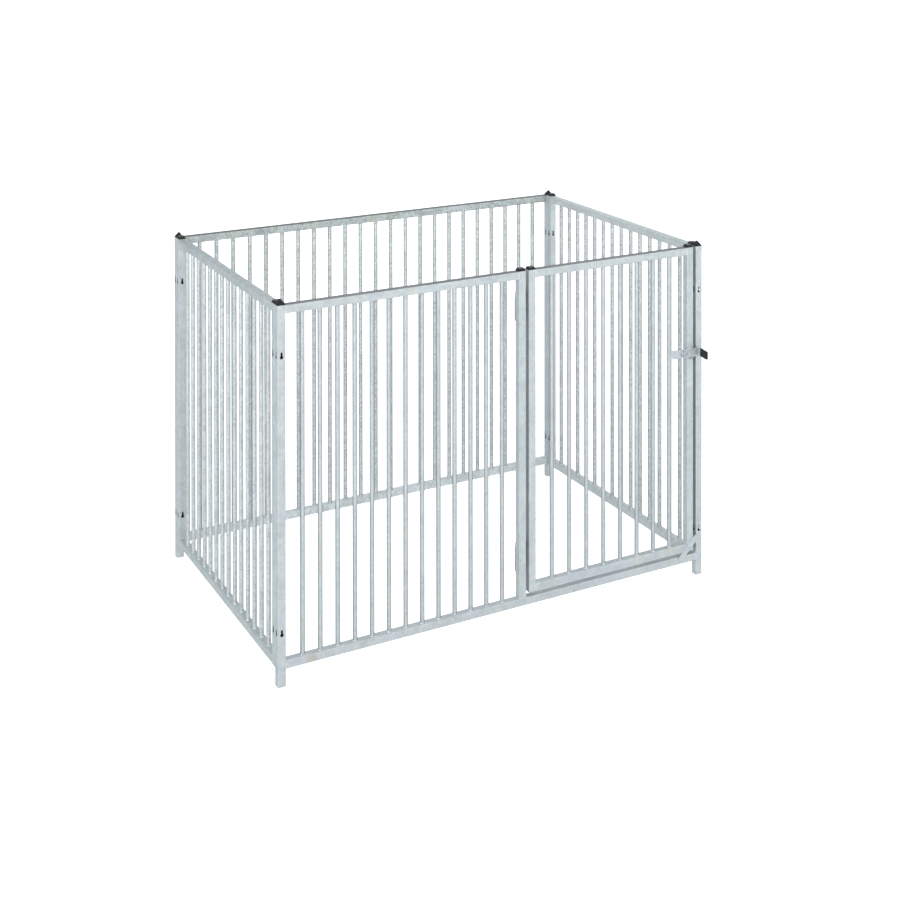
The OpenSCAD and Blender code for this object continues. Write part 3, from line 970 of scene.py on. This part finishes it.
def area(name, loc, target, size, energy, color=(1, 1, 1), size_y=None):
    d = bpy.data.lights.new(name, "AREA")
    d.energy = energy
    d.color = color
    d.shape = "RECTANGLE"
    d.size = size
    d.size_y = size_y or size
    o = bpy.data.objects.new(name, d)
    o.location = loc
    o.rotation_mode = "QUATERNION"
    o.rotation_quaternion = (Vector(target) - Vector(loc)).to_track_quat("-Z", "Y")
    bpy.context.scene.collection.objects.link(o)
    return o


area("soft_key", (-4.2, -6.0, 3.2), (0, 0, 0.5), 4.0, 205, (1.0, 0.995, 0.98), 3.0)
area("soft_fill", (5.5, -4.0, 2.6), (0, 0, 0.5), 4.0, 90, (0.97, 0.985, 1.0), 3.0)
area("soft_back", (3.4, 5.8, 3.0), (0, 0, 0.5), 4.0, 16, (1, 1, 1), 3.0)

world = bpy.data.worlds.new("studio")
bpy.context.scene.world = world
world.use_nodes = True
g = Graph(world.node_tree)
wout = g.add("ShaderNodeOutputWorld")
bg = g.add("ShaderNodeBackground")
g.put(wout, "Surface", bg.outputs[0])
dirn = g.add("ShaderNodeTexCoord").outputs["Generated"]
sepd = g.add("ShaderNodeSeparateXYZ")
g.put(sepd, "i0", dirn)


def toward(vec):
    """How far a direction points along vec, from -1 to 1."""
    d = g.add("ShaderNodeVectorMath", {"operation": "DOT_PRODUCT"})
    g.put(d, "i0", dirn)
    d.inputs[1].default_value = vec
    return d.outputs["Value"]


# Walls of the room as the steel reflects them: light in front and on the left,
# a dark flag low down behind the pen, a duller ceiling.
away = g.remap(toward((0.489, 0.872, 0.0)), -1.0, 1.0, 1.0, 0.40)
high = g.remap(sepd.outputs[2], 0.18, 0.50, 0.0, 1.0, True)
away = g.math("MULTIPLY_ADD", high, g.math("SUBTRACT", 0.97, away), away)
right = g.remap(toward((0.872, -0.489, 0.0)), -1.0, 1.0, 1.05, 0.74)
up = g.remap(sepd.outputs[2], 0.0, 1.0, 1.0, 0.92)
flag = g.remap(toward((0.489, 0.872, 0.0)), 0.30, 0.85, 0.0, 1.0, True)
flag = g.math("MULTIPLY", flag, g.remap(sepd.outputs[2], 0.24, 0.44, 1.0, 0.0, True))
power = g.math("MULTIPLY", g.math("MULTIPLY", away, right), up)
power = g.math("MULTIPLY", power, g.remap(flag, 0.0, 1.0, 1.0, 0.40))
power = g.math("MULTIPLY", power, 1.0)
tint = g.mix(g.remap(sepd.outputs[2], 0.0, 0.9), rgb(0.965, 0.995, 0.995), rgb(0.86, 0.93, 1.0))
seen = g.add("ShaderNodeLightPath").outputs["Is Camera Ray"]
g.put(bg, "Color", g.mix(seen, tint, rgb(1.0, 1.0, 1.0)))
g.put(bg, "Strength", g.math("MULTIPLY_ADD", seen, g.math("SUBTRACT", 1.0, power), power))

# Camera: a level view camera with a raised back, as for catalogue pictures.
cam_data = bpy.data.cameras.new("camera")
cam = bpy.data.objects.new("camera", cam_data)
bpy.context.scene.collection.objects.link(cam)
bpy.context.scene.camera = cam
YAW, PITCH, ROLL = 0.5105, 0.0073, 0.0005
cam.location = (-2.2905, -4.5917, 2.298)
fwd = Vector((math.sin(YAW) * math.cos(PITCH), math.cos(YAW) * math.cos(PITCH),
              -math.sin(PITCH)))
rgt = Vector((math.cos(YAW), -math.sin(YAW), 0.0))
upv = rgt.cross(fwd)
rot = Matrix((rgt, upv, -fwd)).transposed()
cam.rotation_mode = "QUATERNION"
cam.rotation_quaternion = (rot @ Matrix.Rotation(-ROLL, 3, "Z")).to_quaternion()
cam_data.sensor_width = 36.0
cam_data.lens = 60.84
cam_data.clip_start, cam_data.clip_end = 0.05, 400.0


def shift_when_home(prop, value):
    """Lens shift belongs to this one camera position, and is 0 elsewhere."""
    fc = cam_data.driver_add(prop)
    drv = fc.driver
    drv.type = "SCRIPTED"
    names = []
    for i, home in enumerate(cam.location):
        v = drv.variables.new()
        v.name = "xyz"[i]
        v.type = "SINGLE_PROP"
        v.targets[0].id_type = "OBJECT"
        v.targets[0].id = cam
        v.targets[0].data_path = f"location[{i}]"
        names.append(f"abs({v.name} - {home:.6f})")
    drv.expression = f"{value} * max(0, 1 - 50 * ({' + '.join(names)}))"


shift_when_home("shift_x", -0.0678)
shift_when_home("shift_y", -0.6122)

scene = bpy.context.scene
scene.view_settings.view_transform = "Standard"
scene.view_settings.look = "None"
scene.view_settings.exposure = 0.0
scene.view_settings.gamma = 1.0

lo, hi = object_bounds()
